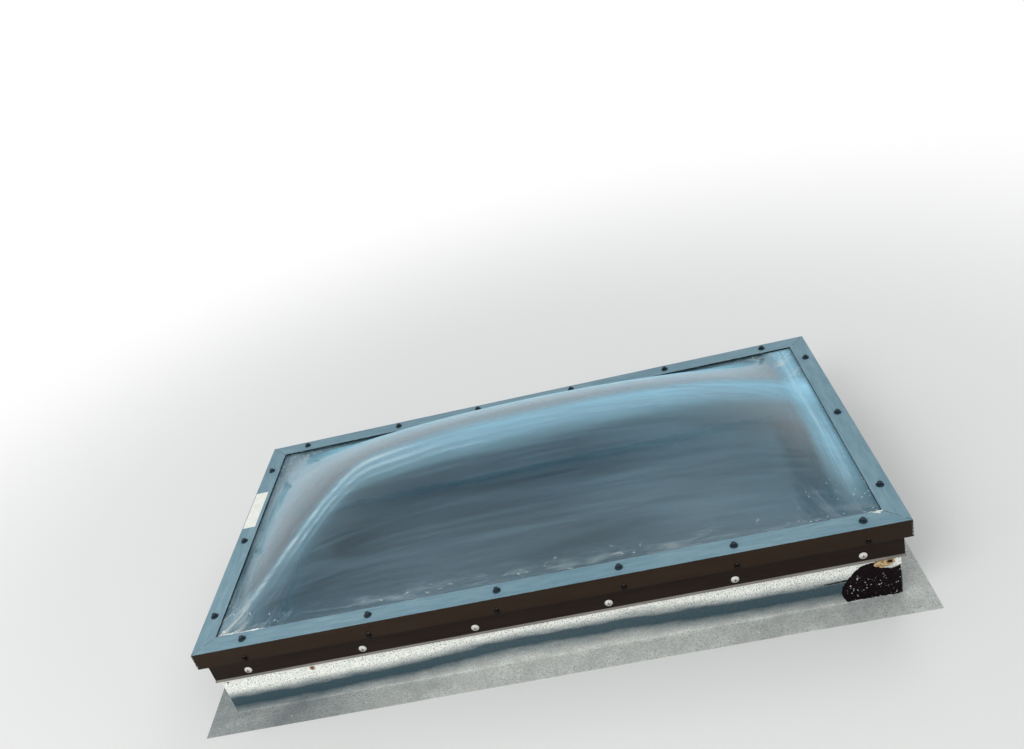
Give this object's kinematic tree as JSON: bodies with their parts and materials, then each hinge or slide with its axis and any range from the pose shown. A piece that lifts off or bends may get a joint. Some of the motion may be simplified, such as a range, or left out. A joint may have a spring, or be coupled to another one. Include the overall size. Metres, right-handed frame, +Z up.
{
  "type": "roof skylight",
  "caption": "Fixed domed roof skylight: blown bronze acrylic dome in a mitred metal frame on a flashed wooden curb.",
  "frame": {"origin": "middle of the underside, where the curb and the flashing's flange rest on the roof", "axes": "+X along the long side, +Y across the short side towards the high side of the roof, +Z up, square to the roof"},
  "size_m": [1.3604, 0.7508, 0.3144],
  "materials": {
    "pine": "aged sawn softwood",
    "curb_screw_steel": "zinc and yellow plated steel",
    "galvanised": "galvanised sheet with fine spangle",
    "foam_tape": "black closed-cell foam",
    "bronze_frame": "dark bronze anodised",
    "mill_aluminium": "as extruded",
    "clear_acrylic": "clear acrylic",
    "vinyl_spacer": "black vinyl",
    "bronze_acrylic": "transparent bronze acrylic, glossy",
    "bronze_retainer": "dark bronze anodised, weathered",
    "label_paper": "bare paper, faded",
    "black_steel": "black coated steel",
    "washer_rubber": "bonded sealing washer",
    "bright_steel": "stainless steel",
    "roof_cement": "dried black roof cement with grit"
  },
  "bodies": {
    "root": {"curb_board_front": "pine", "curb_board_back": "pine", "curb_board_left": "pine", "curb_board_right": "pine", "curb_screws": "curb_screw_steel", "flashing_front": "galvanised", "flashing_back": "galvanised", "flashing_left": "galvanised", "flashing_right": "galvanised", "curb_gasket": "foam_tape", "frame_front": "bronze_frame", "frame_back": "bronze_frame", "frame_left": "bronze_frame", "frame_right": "bronze_frame", "corner_keys": "mill_aluminium", "bed_tape": "foam_tape", "inner_dome": "clear_acrylic", "dome_spacer": "vinyl_spacer", "outer_dome": "bronze_acrylic", "cap_tape": "foam_tape", "retainer_front": "bronze_retainer", "retainer_back": "bronze_retainer", "retainer_left": "bronze_retainer", "retainer_right": "bronze_retainer", "label_blank": "label_paper", "cap_screws": "black_steel", "cap_washers": "washer_rubber", "leg_screws": "black_steel", "skirt_screws": "bright_steel", "cement_patch": "roof_cement"}
  },
  "joints": []
}
